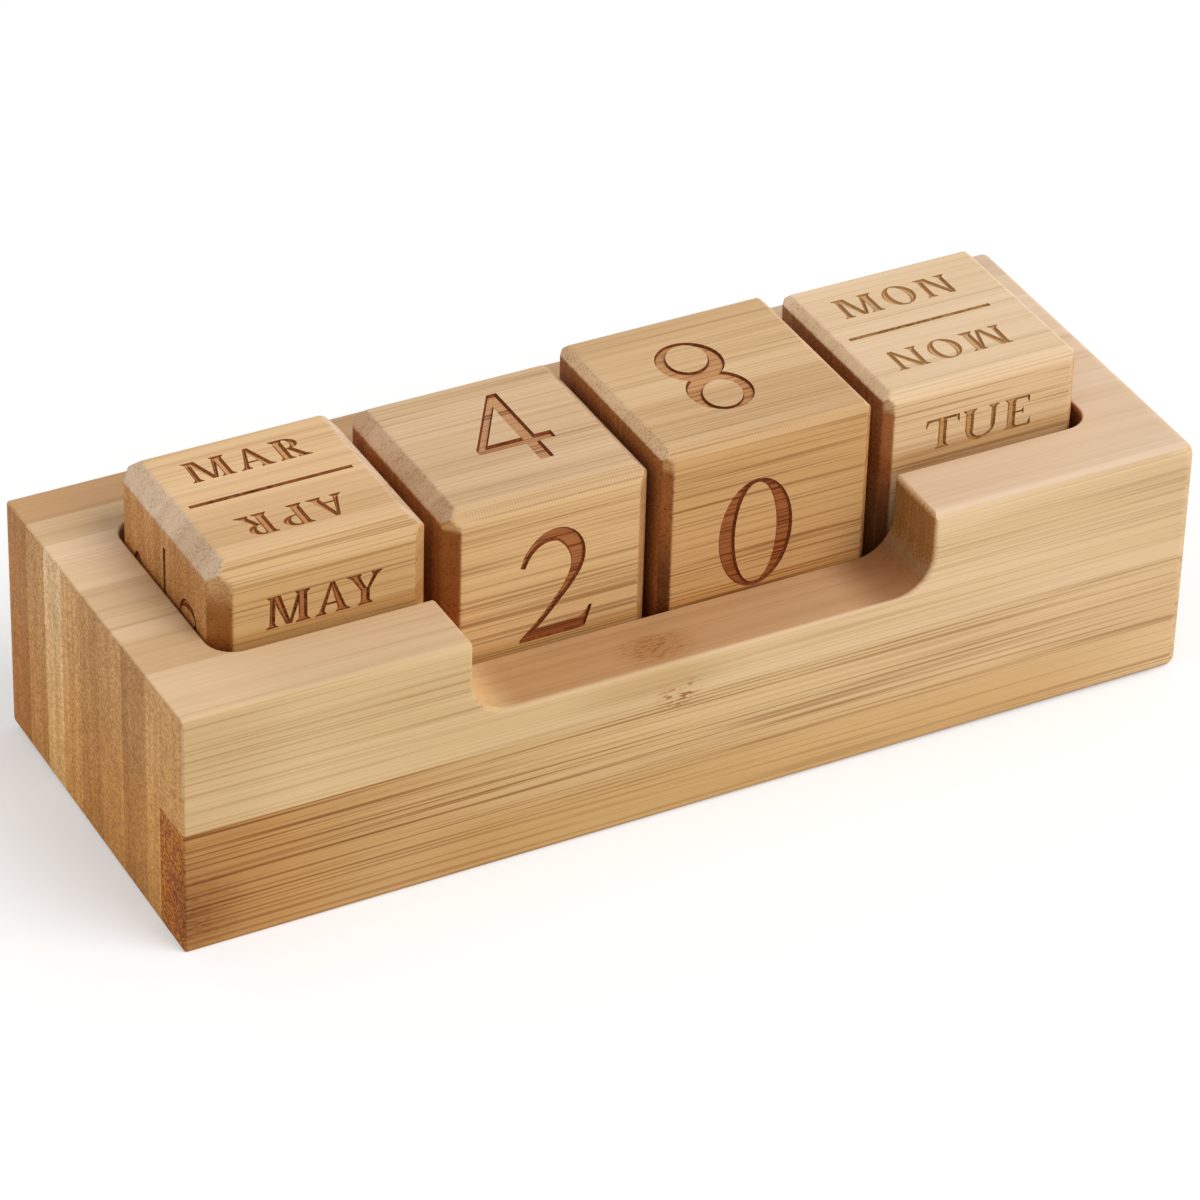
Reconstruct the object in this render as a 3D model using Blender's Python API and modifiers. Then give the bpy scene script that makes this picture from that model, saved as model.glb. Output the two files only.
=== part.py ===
"""A wooden desk calendar: a bamboo tray with one long pocket, and four loose bamboo blocks standing in it.

Metres, +Z up, +X along the tray, -Y the side that is read. The origin is under the middle of the tray, on the table.
"""

import math

import bmesh
import bpy

# The blocks, from left to right as read. Each is a cube, and the tray is sized to hold them.
block_sizes = {
    "month_block": 0.0360,
    "tens_cube": 0.0352,
    "units_cube": 0.0367,
    "weekday_block": 0.0350,
}
block_chamfers = {
    "month_block": 0.0030,
    "tens_cube": 0.0024,
    "units_cube": 0.0015,
    "weekday_block": 0.0015,
}

# Where each block stands in the free depth of the pocket: 0 is at the front wall, 1 at the back wall.
standing_shares = {
    "month_block": 0.52,
    "tens_cube": 0.36,
    "units_cube": 0.16,
    "weekday_block": 0.67,
}

# The free length of the row, and the share of it left of the month block, between the blocks and right of the last.
row_slack = 0.0087
row_slack_shares = (0.045, 0.25, 0.145, 0.41, 0.15)
pocket_free_depth = 0.0028
rest_gap = 0.0003

# The tray round the pocket.
end_wall = 0.0117
side_wall = 0.0130
floor_thickness = 0.0193
pocket_depth = 0.0230
pocket_corner_radius = 0.0045
outer_edge_radius = 0.0015
mouth_edge_radius = 0.0004

# The window in the front wall, under the two number cubes.
window_margin = 0.0033
window_sill_height = 0.0091
window_fillet_radius = 0.0065

cut_overrun = 0.0020
outer_edge_segments = 4
mouth_edge_segments = 2
corner_segments = 8
sharp_angle = math.radians(40)

bamboo_colours = {
    "tray": (0.62, 0.41, 0.22, 1.0),
    "month_block": (0.66, 0.45, 0.25, 1.0),
    "tens_cube": (0.68, 0.47, 0.26, 1.0),
    "units_cube": (0.67, 0.46, 0.25, 1.0),
    "weekday_block": (0.68, 0.48, 0.28, 1.0),
}
bamboo_roughness = 0.5

# Worked out from the sizes above.
block_names = list(block_sizes)
pocket_length = sum(block_sizes.values()) + row_slack
pocket_width = max(block_sizes.values()) + pocket_free_depth
tray_length = pocket_length + 2 * end_wall
tray_depth = pocket_width + 2 * side_wall
tray_height = floor_thickness + pocket_depth
window_length = block_sizes["tens_cube"] + row_slack * row_slack_shares[2] + block_sizes["units_cube"]
window_length += 2 * window_margin
window_sill = floor_thickness + window_sill_height


def clear_scene():
    for thing in list(bpy.data.objects):
        bpy.data.objects.remove(thing, do_unlink=True)


def new_collection(name):
    made = bpy.data.collections.new(name)
    bpy.context.scene.collection.children.link(made)
    return made


def bamboo(name):
    material = bpy.data.materials.new(name + "_bamboo")
    material.use_nodes = True
    shader = material.node_tree.nodes["Principled BSDF"]
    shader.inputs["Base Color"].default_value = bamboo_colours[name]
    shader.inputs["Roughness"].default_value = bamboo_roughness
    material.diffuse_color = bamboo_colours[name]
    return material


def box_mesh(name, size_x, size_y, size_z, base_z):
    """A box centred over the origin in X and Y, with its underside at base_z."""
    mesh = bpy.data.meshes.new(name)
    box = bmesh.new()
    bmesh.ops.create_cube(box, size=1.0)
    bmesh.ops.scale(box, vec=(size_x, size_y, size_z), verts=box.verts)
    bmesh.ops.translate(box, vec=(0, 0, base_z + size_z / 2), verts=box.verts)
    box.to_mesh(mesh)
    box.free()
    return mesh


def upright_edges(shape):
    return [edge for edge in shape.edges if abs(edge.verts[0].co.z - edge.verts[1].co.z) > edge.calc_length() / 2]


def pocket_mesh():
    """The pocket as a solid: a box with its four upright edges rounded, standing out of the tray's top."""
    mesh = box_mesh("pocket_cut", pocket_length, pocket_width, pocket_depth + cut_overrun, floor_thickness)
    shape = bmesh.new()
    shape.from_mesh(mesh)
    bmesh.ops.bevel(
        shape,
        geom=upright_edges(shape),
        offset=pocket_corner_radius,
        offset_type="OFFSET",
        segments=corner_segments,
        profile=0.5,
        affect="EDGES",
    )
    shape.to_mesh(mesh)
    shape.free()
    return mesh


def window_profile():
    """The window's outline in X and Z: open at the top, with a quarter circle at each lower corner."""
    half = window_length / 2
    top = tray_height + cut_overrun
    points = [(half, top), (-half, top)]
    for centre_x, first_angle in ((-half + window_fillet_radius, math.pi), (half - window_fillet_radius, 1.5 * math.pi)):
        for step in range(corner_segments + 1):
            angle = first_angle + 0.5 * math.pi * step / corner_segments
            x = centre_x + window_fillet_radius * math.cos(angle)
            z = window_sill + window_fillet_radius * (1 + math.sin(angle))
            points.append((x, z))
    return points


def window_mesh():
    """The window as a solid, from in front of the front face to inside the pocket."""
    mesh = bpy.data.meshes.new("window_cut")
    shape = bmesh.new()
    front = -tray_depth / 2 - cut_overrun
    back = -pocket_width / 2 + cut_overrun
    ring = [shape.verts.new((x, front, z)) for x, z in window_profile()]
    face = shape.faces.new(ring)
    pushed = bmesh.ops.extrude_face_region(shape, geom=[face])
    moved = [item for item in pushed["geom"] if isinstance(item, bmesh.types.BMVert)]
    bmesh.ops.translate(shape, vec=(0, back - front, 0), verts=moved)
    bmesh.ops.recalc_face_normals(shape, faces=shape.faces)
    shape.to_mesh(mesh)
    shape.free()
    return mesh


def add_cutter(name, mesh, collection):
    cutter = bpy.data.objects.new(name, mesh)
    cutter.hide_render = True
    cutter.display_type = "WIRE"
    collection.objects.link(cutter)
    return cutter


def cut(part, cutter):
    boolean = part.modifiers.new("cut_" + cutter.name, "BOOLEAN")
    boolean.operation = "DIFFERENCE"
    boolean.solver = "EXACT"
    boolean.object = cutter


def round_edges(part, name, width, segments, angle):
    bevel = part.modifiers.new(name, "BEVEL")
    bevel.limit_method = "ANGLE"
    bevel.angle_limit = angle
    bevel.width = width
    bevel.segments = segments
    bevel.use_clamp_overlap = True


def add_part(name, mesh, collection):
    part = bpy.data.objects.new(name, mesh)
    mesh.materials.append(bamboo(name))
    collection.objects.link(part)
    return part


def build_tray(collection, cutters):
    """One glued billet: the outside edges are rounded, the pocket and the window are cut, then their rims are eased."""
    tray = add_part("tray", box_mesh("tray", tray_length, tray_depth, tray_height, 0), collection)
    round_edges(tray, "outer_edges", outer_edge_radius, outer_edge_segments, sharp_angle)
    cut(tray, add_cutter("pocket_cut", pocket_mesh(), cutters))
    cut(tray, add_cutter("window_cut", window_mesh(), cutters))
    round_edges(tray, "mouth_edges", mouth_edge_radius, mouth_edge_segments, sharp_angle)
    return tray


def block_places():
    """The middle of each block in X and Y, from the free length and the free depth of the pocket."""
    places = {}
    x = -pocket_length / 2
    for name, share in zip(block_names, row_slack_shares):
        size = block_sizes[name]
        x += row_slack * share
        free_depth = pocket_width - size
        y = -pocket_width / 2 + free_depth * standing_shares[name] + size / 2
        places[name] = (x + size / 2, y)
        x += size
    return places


def build_block(name, place, collection):
    """A cube with every edge cut off at 45 degrees. Its origin is in the middle of its underside."""
    size = block_sizes[name]
    block = add_part(name, box_mesh(name, size, size, size, 0), collection)
    block.location = (place[0], place[1], floor_thickness + rest_gap)
    round_edges(block, "chamfers", block_chamfers[name], 1, sharp_angle)
    return block


def build():
    clear_scene()
    calendar = new_collection("wooden_flip_calendar")
    cutters = new_collection("cutters")
    build_tray(calendar, cutters)
    for name, place in block_places().items():
        build_block(name, place, calendar)


build()
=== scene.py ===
"""The looks of a wooden block calendar: a bamboo tray and four loose bamboo blocks with burnt lettering.

Metres, +X along the tray, -Y the side that is read, +Z up, as in the CAD model.
"""

import bmesh
import bpy
import numpy as np
from mathutils import Matrix, Vector


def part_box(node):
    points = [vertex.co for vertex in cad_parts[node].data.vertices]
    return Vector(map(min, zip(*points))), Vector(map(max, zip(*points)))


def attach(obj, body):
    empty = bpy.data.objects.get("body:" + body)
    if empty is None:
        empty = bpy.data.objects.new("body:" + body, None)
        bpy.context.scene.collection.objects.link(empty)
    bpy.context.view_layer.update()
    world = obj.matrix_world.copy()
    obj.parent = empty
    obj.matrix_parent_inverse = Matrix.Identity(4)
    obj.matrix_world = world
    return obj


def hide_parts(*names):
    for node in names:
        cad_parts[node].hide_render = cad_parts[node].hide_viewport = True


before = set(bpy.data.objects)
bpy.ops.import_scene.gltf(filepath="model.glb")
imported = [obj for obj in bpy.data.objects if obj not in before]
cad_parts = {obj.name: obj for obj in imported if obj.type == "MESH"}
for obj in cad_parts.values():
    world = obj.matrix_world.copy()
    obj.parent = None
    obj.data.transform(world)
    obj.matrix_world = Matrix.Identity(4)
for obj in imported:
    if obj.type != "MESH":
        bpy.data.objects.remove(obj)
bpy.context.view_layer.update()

# The tray, as in the CAD source.
pocket_length = 0.1516
pocket_width = 0.0395
pocket_floor = 0.0193
pocket_corner = 0.0045
window_length = 0.07976
window_sill = 0.0284
window_fillet = 0.0065
rim_round = 0.0004
window_front_round = 0.0007
window_mouth_round = 0.0009
cut_overrun = 0.0020
arc_steps = 8
side_steps = 10
rim_steps = 4
smallest_radius = 0.00006

# The tray's corners, once round from the front left: the upright edge's radius, then the radii of the top
# edge and of the underside's edge, where they come into the corner and where they leave it.
tray_corners = (
    (0.0005, 0.0004, 0.0009, 0.0004, 0.0004),
    (0.0024, 0.0022, 0.0025, 0.0019, 0.0016),
    (0.0014, 0.0013, 0.0010, 0.0016, 0.0018),
    (0.0008, 0.0008, 0.0005, 0.0021, 0.0021),
)

block_chamfers = {
    "month_block": 0.0030,
    "tens_cube": 0.0024,
    "units_cube": 0.0015,
    "weekday_block": 0.0015,
}
edge_sharpness = 260
chamfer_lines = 12
chamfer_line_places = np.array([-5, -3, -1.6, -0.6, 0.4, 1.4, 2.6]) / 10

# The engraving, in metres, but for the gaps between letters, which are shares of the capital height. A
# word's foot stands this far from the middle of its face.
stroke_step = 0.000013
crease_rise = 0.00003
capital_height = 0.0056
word_foot = 0.0057
letter_gap = 0.22
closer_pairs = {"AY": 0.22, "TU": 0.14}
digit_height = 0.0197
divider_half_lengths = {"month_block": 0.0135, "weekday_block": 0.0128}
divider_half_width = 0.00043
widest_end_lean = 0.4

# Each block's grooves: how wide their leaning walls are in plan, at most what share of the stroke's width,
# and how deep they go.
grooves = {
    "month_block": (0.00048, 0.46, 0.00032),
    "tens_cube": (0.00036, 0.30, 0.00042),
    "units_cube": (0.00036, 0.30, 0.00042),
    "weekday_block": (0.00046, 0.46, 0.00026),
}

# Letter parts, in shares of the capital height.
stem = 0.142
hair = 0.086
serif_reach = 0.090

# Which way each face of a block looks, and which way its lettering runs and stands.
upright_faces = {
    "front": ((0, -1, 0), (1, 0, 0), (0, 0, 1)),
    "back": ((0, 1, 0), (-1, 0, 0), (0, 0, 1)),
    "top": ((0, 0, 1), (1, 0, 0), (0, 1, 0)),
    "underside": ((0, 0, -1), (1, 0, 0), (0, -1, 0)),
    "left": ((-1, 0, 0), (0, 0, -1), (0, -1, 0)),
    "right": ((1, 0, 0), (0, 0, 1), (0, -1, 0)),
}
upright_ends = {
    "left": ((-1, 0, 0), (0, -1, 0), (0, 0, 1)),
    "right": ((1, 0, 0), (0, 1, 0), (0, 0, 1)),
}

# What each face shows: two words, or one digit.
block_lettering = {
    "month_block": {
        "top": ("MAR", "APR"),
        "front": ("MAY", "JUN"),
        "underside": ("JUL", "AUG"),
        "left": ("OCT", "SEP"),
        "back": ("NOV", "DEC"),
        "right": ("JAN", "FEB"),
    },
    "tens_cube": {"top": "4", "front": "2", "underside": "0", "back": "3", "left": "1", "right": "5"},
    "units_cube": {"top": "8", "front": "0", "underside": "1", "back": "2", "left": "6", "right": "7"},
    "weekday_block": {
        "top": ("MON", "MON"),
        "front": ("TUE", "TUE"),
        "underside": ("WED", "WED"),
        "back": ("THU", "THU"),
        "left": ("FRI", "FRI"),
        "right": ("SAT", "SUN"),
    },
}

# How far lettering stands along from the middle of its face. Words: the first, the second, their line.
word_shifts = {"month_block": (0.0001, 0.0001, 0.0001), "weekday_block": (-0.0006, -0.0006, -0.0006)}
face_shifts = {
    ("month_block", "top"): (-0.0005, -0.0005, -0.0003),
    ("month_block", "left"): (0.0022, 0.0026, 0.0015),
    ("weekday_block", "top"): (-0.0013, -0.0013, -0.0016),
}
digit_shifts = {"tens_cube": (0.0012, 0.0011), "units_cube": (-0.0021, 0.0003)}


def leg(foot_x, foot_y, head_x, head_y, foot_half, head_half, foot=0, head=0):
    """A stroke between two heights. Its edges are its middle line less and plus a half width, which runs
    evenly from foot to head, and swells near an end that has a serif."""
    rise = head_y - foot_y
    near = np.array([0, 0.047, 0.078, 0.14])
    swell = serif_reach * np.array([1, 0.93, 0.32, 0])
    share = np.concatenate([near / rise, 1 - near[::-1] / rise])
    half = foot_half + (head_half - foot_half) * share
    half = half + np.concatenate([foot * swell, head * swell[::-1]])
    middle = foot_x + (head_x - foot_x) * share
    height = foot_y + rise * share
    return np.stack([np.stack([middle - half, height], 1), np.stack([middle + half, height], 1)]), False


def beam(left_x, right_x, middle_y, half, left=(0, 0), right=(0, 0)):
    """A level stroke. Its edges are its middle height plus and less a half width, and flare up or down over
    its last tenth where it ends in a beak."""
    near = np.array([0, 0.03, 0.1])
    swell = np.array([1, 0.7, 0])
    x = np.concatenate([left_x + near, right_x - near[::-1]])
    above = middle_y + half + np.concatenate([left[0] * swell, right[0] * swell[::-1]])
    below = middle_y - half - np.concatenate([left[1] * swell, right[1] * swell[::-1]])
    return np.stack([np.stack([x, above], 1), np.stack([x, below], 1)]), False


def ring(x, y, half_wide, half_high, side, cap, start=0, end=360, tilt=0, lift=0):
    """A round stroke between two ellipses: the inner one is narrower by the side's width and lower by the
    cap's, is turned by the tilt, and stands higher by the lift."""
    closed = end - start == 360
    angle = np.radians(np.linspace(start, end, 37 if closed else 4 + (end - start) // 12))
    angle = angle[:-1] if closed else angle
    outer = np.stack([half_wide * np.cos(angle), half_high * np.sin(angle)], 1)
    inner = np.stack([(half_wide - side) * np.cos(angle), (half_high - cap) * np.sin(angle)], 1)
    turn = np.radians(tilt)
    inner = inner @ np.array([[np.cos(turn), np.sin(turn)], [-np.sin(turn), np.cos(turn)]])
    return np.stack([outer, inner + [0, lift]]) + [x, y], closed


def sweep(*points):
    """A flowing stroke through rows of place and half width. Between two rows each value follows the cubic
    whose end slopes are half the step between the rows on either side. The edges lie square to it."""
    p = np.array(points, float)
    p = np.vstack([2 * p[0] - p[1], p, 2 * p[-1] - p[-2]])
    a, b, c, d = p[:-3], p[1:-2], p[2:-1], p[3:]
    t = np.linspace(0, 1, 5, endpoint=False)[:, None, None]
    line = 0.5 * (2 * b + (c - a) * t + (2 * a - 5 * b + 4 * c - d) * t**2 + (3 * b - a - 3 * c + d) * t**3)
    line = np.vstack([line.swapaxes(0, 1).reshape(-1, 3), p[-2]])
    way = np.gradient(line[:, :2], axis=0)
    way /= np.linalg.norm(way, axis=1)[:, None]
    across = np.stack([-way[:, 1], way[:, 0]], 1) * line[:, 2:]
    return np.stack([line[:, :2] + across, line[:, :2] - across]), False


def between(first_edge, second_edge):
    """A stroke given by its two edges, point by point."""
    return np.array([first_edge, second_edge], float), False


def plain_stem(x):
    return leg(x, 0, x, 1, stem, stem, 1, 1)


def upper_bowl(x, half_wide):
    """The closed upper half of a P or an R, with the two level strokes that tie it to the stem."""
    return [
        ring(x, 0.735, half_wide, 0.265, 0.25, 0.07, -90, 90),
        beam(0.2, x + 0.02, 0.965, 0.035),
        beam(0.2, x + 0.02, 0.505, 0.035),
    ]


# Each letter's width and strokes, in shares of its height.
letters = {
    "A": (0.93, [
        leg(0.11, 0, 0.44, 1, hair, 0.05, 1),
        leg(0.78, 0, 0.46, 1, stem, 0.08, 1),
        beam(0.2, 0.7, 0.32, 0.04),
    ]),
    "B": (0.80, [
        plain_stem(0.2),
        ring(0.34, 0.755, 0.34, 0.245, 0.22, 0.07, -90, 90),
        ring(0.36, 0.27, 0.40, 0.27, 0.24, 0.07, -90, 90),
        beam(0.2, 0.36, 0.965, 0.035),
        beam(0.2, 0.38, 0.52, 0.035),
        beam(0.2, 0.38, 0.035, 0.035),
    ]),
    "C": (0.95, [
        ring(0.5, 0.5, 0.48, 0.52, 0.25, 0.06, 42, 318),
        leg(0.87, 0.64, 0.865, 1, 0.02, 0.06),
        sweep((0.66, 0.1, 0.08), (0.79, 0.13, 0.06), (0.9, 0.27, 0.03)),
    ]),
    "D": (1.00, [
        plain_stem(0.2),
        ring(0.42, 0.5, 0.54, 0.5, 0.26, 0.07, -90, 90),
        beam(0.2, 0.44, 0.965, 0.035),
        beam(0.2, 0.44, 0.035, 0.035),
    ]),
    "E": (0.85, [
        plain_stem(0.2),
        beam(0.2, 0.78, 0.96, 0.04, right=(0, 0.2)),
        beam(0.2, 0.60, 0.52, 0.035, right=(0.09, 0.09)),
        beam(0.2, 0.83, 0.04, 0.04, right=(0.22, 0)),
    ]),
    "F": (0.84, [
        plain_stem(0.2),
        beam(0.2, 0.82, 0.96, 0.04, right=(0, 0.22)),
        beam(0.2, 0.62, 0.5, 0.035, right=(0.09, 0.09)),
    ]),
    "G": (1.02, [
        ring(0.5, 0.5, 0.48, 0.52, 0.25, 0.06, 42, 324),
        leg(0.87, 0.64, 0.865, 1, 0.02, 0.06),
        leg(0.83, 0.03, 0.83, 0.44, 0.1, 0.1, 0, 1),
    ]),
    "H": (1.14, [plain_stem(0.21), plain_stem(0.93), beam(0.21, 0.93, 0.52, 0.04)]),
    "I": (0.42, [plain_stem(0.21)]),
    "J": (0.66, [
        leg(0.44, 0.22, 0.44, 1, stem, stem, 0, 1),
        sweep(
            (0.44, 0.3, 0.125), (0.42, 0.1, 0.11), (0.3, -0.02, 0.06), (0.15, 0.0, 0.05), (0.08, 0.1, 0.07),
        ),
    ]),
    "L": (0.86, [plain_stem(0.2), beam(0.2, 0.84, 0.04, 0.04, right=(0.24, 0))]),
    "M": (1.22, [
        leg(0.13, 0, 0.16, 1, hair, hair, 1, 1),
        leg(0.62, 0.02, 0.25, 1, 0.09, stem),
        leg(0.66, 0.02, 0.96, 1, 0.06, hair),
        leg(1.04, 0, 1.03, 1, stem, stem, 1, 1),
    ]),
    "N": (0.95, [
        leg(0.13, 0, 0.15, 1, hair, hair, 1, 1),
        leg(0.79, 0, 0.23, 1, 0.08, stem),
        leg(0.82, 0.02, 0.82, 1, hair, hair, 0, 1),
    ]),
    "O": (1.02, [ring(0.51, 0.5, 0.50, 0.52, 0.26, 0.06, tilt=6)]),
    "P": (0.82, [plain_stem(0.2), *upper_bowl(0.38, 0.42)]),
    "R": (0.88, [plain_stem(0.2), *upper_bowl(0.38, 0.38), leg(0.73, 0, 0.42, 0.53, stem, 0.1, 1)]),
    "S": (0.82, [
        sweep(
            (0.72, 0.66, 0.015), (0.66, 0.86, 0.05), (0.42, 0.98, 0.045), (0.2, 0.88, 0.09),
            (0.18, 0.68, 0.12), (0.42, 0.51, 0.13), (0.65, 0.35, 0.12), (0.66, 0.14, 0.09),
            (0.42, 0.02, 0.045), (0.18, 0.12, 0.05), (0.09, 0.33, 0.015),
        ),
    ]),
    "T": (1.12, [leg(0.56, 0, 0.56, 1, stem, stem, 1), beam(0.02, 1.10, 0.95, 0.05, (0, 0.22), (0, 0.22))]),
    "U": (1.18, [
        leg(0.24, 0.3, 0.24, 1, stem, stem, 0, 1),
        leg(1.0, 0.3, 1.02, 1, hair, hair, 0, 1),
        sweep(
            (0.24, 0.38, 0.125), (0.27, 0.16, 0.12), (0.47, 0.02, 0.08), (0.75, 0.04, 0.055),
            (0.97, 0.2, 0.055), (1.005, 0.38, 0.06),
        ),
    ]),
    "V": (1.04, [leg(0.52, 0, 0.18, 1, 0.07, stem, 0, 1), leg(0.54, 0, 0.9, 1, 0.04, hair, 0, 1)]),
    "W": (1.46, [
        leg(0.46, 0, 0.18, 1, 0.07, stem, 0, 1),
        leg(0.48, 0, 0.78, 1, 0.04, hair),
        leg(1.0, 0, 0.72, 1, 0.07, stem, 0, 1),
        leg(1.02, 0, 1.32, 1, 0.04, hair, 0, 1),
    ]),
    "Y": (1.00, [
        leg(0.5, 0, 0.5, 0.5, stem, stem, 1),
        leg(0.5, 0.4, 0.16, 1, 0.11, stem, 0, 1),
        leg(0.54, 0.4, 0.86, 1, 0.06, hair, 0, 1),
    ]),
    "0": (0.66, [ring(0.33, 0.5, 0.33, 0.5, 0.145, 0.035)]),
    "1": (0.66, [
        leg(0.36, 0, 0.36, 1, 0.062, 0.062, 1),
        between([(0.17, 0.9), (0.26, 0.93), (0.36, 1.0)], [(0.17, 0.87), (0.26, 0.885), (0.36, 0.91)]),
    ]),
    "2": (0.66, [
        sweep(
            (0.03, 0.69, 0.024), (0.07, 0.79, 0.03), (0.135, 0.872, 0.037), (0.235, 0.93, 0.05),
            (0.35, 0.93, 0.064), (0.45, 0.855, 0.074), (0.505, 0.735, 0.07), (0.5, 0.6, 0.055),
            (0.435, 0.465, 0.04), (0.33, 0.325, 0.03), (0.19, 0.165, 0.026), (0.03, 0.02, 0.02),
        ),
        between(
            [(0.013, 0.03), (0.16, 0.105), (0.52, 0.105), (0.575, 0.135), (0.615, 0.20)],
            [(0.013, 0.0), (0.17, 0.0), (0.50, 0.0), (0.585, 0.01), (0.645, 0.20)],
        ),
    ]),
    "3": (0.66, [
        sweep(
            (0.10, 0.78, 0.02), (0.17, 0.9, 0.04), (0.3, 0.955, 0.045), (0.42, 0.9, 0.065),
            (0.47, 0.77, 0.075), (0.38, 0.63, 0.045), (0.24, 0.555, 0.02),
        ),
        sweep(
            (0.24, 0.555, 0.02), (0.4, 0.53, 0.04), (0.52, 0.42, 0.07), (0.54, 0.26, 0.08),
            (0.43, 0.09, 0.055), (0.26, 0.03, 0.032), (0.12, 0.09, 0.035), (0.06, 0.2, 0.03),
        ),
    ]),
    "4": (0.66, [
        between([(0.401, 0), (0.401, 0.88), (0.428, 1)], [(0.521, 0), (0.521, 0.88), (0.52, 1)]),
        between([(0, 0.25), (0, 0.31), (0.428, 0.995)], [(0.07, 0.25), (0.085, 0.29), (0.52, 0.995)]),
        beam(0.01, 0.66, 0.293, 0.05),
    ]),
    "5": (0.66, [
        beam(0.2, 0.56, 0.955, 0.045),
        leg(0.19, 0.55, 0.22, 1, 0.022, 0.03),
        sweep(
            (0.18, 0.56, 0.02), (0.31, 0.62, 0.035), (0.46, 0.56, 0.062), (0.54, 0.4, 0.08),
            (0.51, 0.2, 0.075), (0.38, 0.06, 0.045), (0.22, 0.03, 0.032), (0.09, 0.12, 0.03),
        ),
    ]),
    "6": (0.66, [
        sweep(
            (0.56, 0.97, 0.015), (0.42, 0.93, 0.03), (0.24, 0.78, 0.055), (0.13, 0.56, 0.07),
            (0.11, 0.32, 0.07),
        ),
        ring(0.335, 0.3, 0.295, 0.305, 0.14, 0.035),
    ]),
    "7": (0.66, [beam(0.06, 0.6, 0.95, 0.05, (0, 0.1)), leg(0.24, 0, 0.56, 0.95, 0.07, 0.04)]),
    "8": (0.62, [
        ring(0.31, 0.71, 0.277, 0.29, 0.11, 0.088, tilt=-26, lift=0.05),
        ring(0.330, 0.24, 0.270, 0.285, 0.112, 0.085, tilt=-26, lift=-0.048),
    ]),
}


def set_out(text, height, shift_x, foot_y):
    """The strokes of a word in metres, centred on the face but for the shift: each letter follows the one
    before by its width and the gap."""
    pairs = [first + second for first, second in zip(text, text[1:])]
    gaps = np.array([letter_gap - closer_pairs.get(pair, 0.0) for pair in pairs])
    widths = np.array([letters[letter][0] for letter in text])
    starts = np.concatenate([[0], np.cumsum(widths[:-1] + gaps)])
    total = widths.sum() + gaps.sum()
    strokes = []
    for letter, start in zip(text, starts):
        for number, (edges, closed) in enumerate(letters[letter][1]):
            placed = (edges + [start - total / 2, 0]) * height + [shift_x, foot_y]
            strokes.append((placed, closed, number))
    return strokes


def word_pair(words, shifts, divider_half_length):
    """A face of two words: the first stands over the middle, the second is the same turned half round, and
    a thin line parts them."""
    first_shift, second_shift, line_shift = shifts
    first = set_out(words[0], capital_height, first_shift, word_foot)
    second = set_out(words[1], capital_height, -second_shift, word_foot)
    second = [(-edges, closed, number) for edges, closed, number in second]
    share = divider_half_length / capital_height
    line, closed = beam(-share, share, 0, divider_half_width / capital_height)
    return [*first, *second, (line * capital_height + [line_shift, 0], closed, 0)]


def digit_face(digit, shift):
    return set_out(digit, digit_height, shift[0], shift[1] - digit_height / 2)


def groove(edges, closed, cut, number):
    """The tool that cuts one stroke. Across the stroke its section runs down both edges, leans in over the
    wall's width to the carved depth, and is flat between; along the stroke it follows the edges. An open
    stroke's floor stops short of its ends by the same lean. The walls start a hair above the face, and each
    stroke of a letter is cut one small step deeper than the one before, so that no edge and no two floors
    lie in one plane."""
    first, second = edges
    wall, widest_wall, carved_depth = cut
    depth = carved_depth + stroke_step * number
    crease = crease_rise + stroke_step * number
    lid = cut_overrun / 4 + stroke_step * number
    width = np.linalg.norm(second - first, axis=1)[:, None]
    lean = (second - first) * np.minimum(wall / width, widest_wall)
    low = np.stack([first + lean, second - lean])
    if not closed:
        for end, next_in in ((0, 1), (-1, -2)):
            step = low[:, next_in] - low[:, end]
            reach = np.linalg.norm(step, axis=1)[:, None]
            low[:, end] = low[:, end] + step * np.minimum(wall / reach, widest_end_lean)
    levels = np.array([lid, crease, -depth, -depth, crease, lid])
    plan = np.stack([first, first, low[0], low[1], second, second], 1)
    section = np.concatenate([plan, np.broadcast_to(levels[None, :, None], (len(first), 6, 1))], 2)
    count = len(first)
    row = np.arange(count if closed else count - 1)[:, None]
    column = np.arange(6)[None, :]
    after_row, after_column = (row + 1) % count, (column + 1) % 6
    quads = np.stack(
        [row * 6 + column, row * 6 + after_column, after_row * 6 + after_column, after_row * 6 + column], -1
    )
    is_floor = np.broadcast_to(column == 2, quads.shape[:2]).reshape(-1)
    quads = quads.reshape(-1, 4)
    if not closed:
        last = (count - 1) * 6
        ends = np.array([[0, 5, 4, 1], [1, 4, 3, 2], [0, 1, 4, 5], [1, 2, 3, 4]]) + [[0], [0], [last], [last]]
        quads = np.vstack([quads, ends])
        is_floor = np.concatenate([is_floor, np.zeros(4, bool)])
    return section.reshape(-1, 3), quads, is_floor


def mesh_from(name, points, faces, finishes, face_finish=None, in_triangles=False):
    """Puts whole arrays into a closed mesh, with its faces turned outwards."""
    mesh = bpy.data.meshes.new(name)
    mesh.from_pydata(np.asarray(points, float).tolist(), [], [np.asarray(face).tolist() for face in faces])
    for finish in finishes:
        mesh.materials.append(finish)
    if face_finish is not None:
        mesh.polygons.foreach_set("material_index", np.asarray(face_finish, np.int32))
    shape = bmesh.new()
    shape.from_mesh(mesh)
    bmesh.ops.recalc_face_normals(shape, faces=shape.faces)
    if in_triangles:
        bmesh.ops.triangulate(shape, faces=shape.faces)
    shape.to_mesh(mesh)
    shape.free()
    return mesh


def piece(name, mesh):
    made = bpy.data.objects.new(name, mesh)
    bpy.context.scene.collection.objects.link(made)
    return made


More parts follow.
